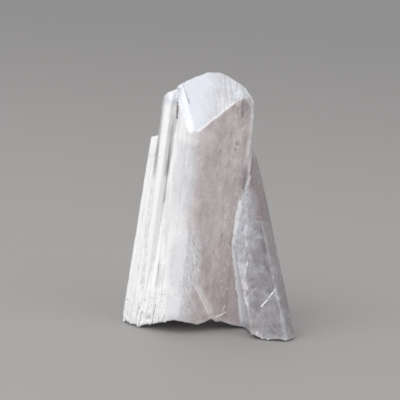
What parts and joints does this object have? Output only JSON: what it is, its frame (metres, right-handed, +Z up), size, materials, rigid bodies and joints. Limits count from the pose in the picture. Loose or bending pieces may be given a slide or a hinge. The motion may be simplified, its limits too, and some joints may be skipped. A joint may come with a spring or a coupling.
{
  "type": "danburite crystal",
  "caption": "Clear to milky danburite crystal group: a stout chisel-topped prism with ribbed side columns and a leaning smaller crystal, standing on its broken base.",
  "frame": {"origin": "middle of the bounding box in plan, on the plane that the broken base stands on", "axes": "+Z up, nearly along the main crystal; -Y towards the front, where the main crystal's front edge is; +X towards the leaning crystal"},
  "size_m": [0.0416, 0.0198, 0.0612],
  "materials": {
    "danburite": "natural crystal, pinkish clear in the middle and frosted white on the ribbed side, the top face and the break"
  },
  "bodies": {
    "root": {"danburite_crystal": "danburite"}
  },
  "joints": []
}
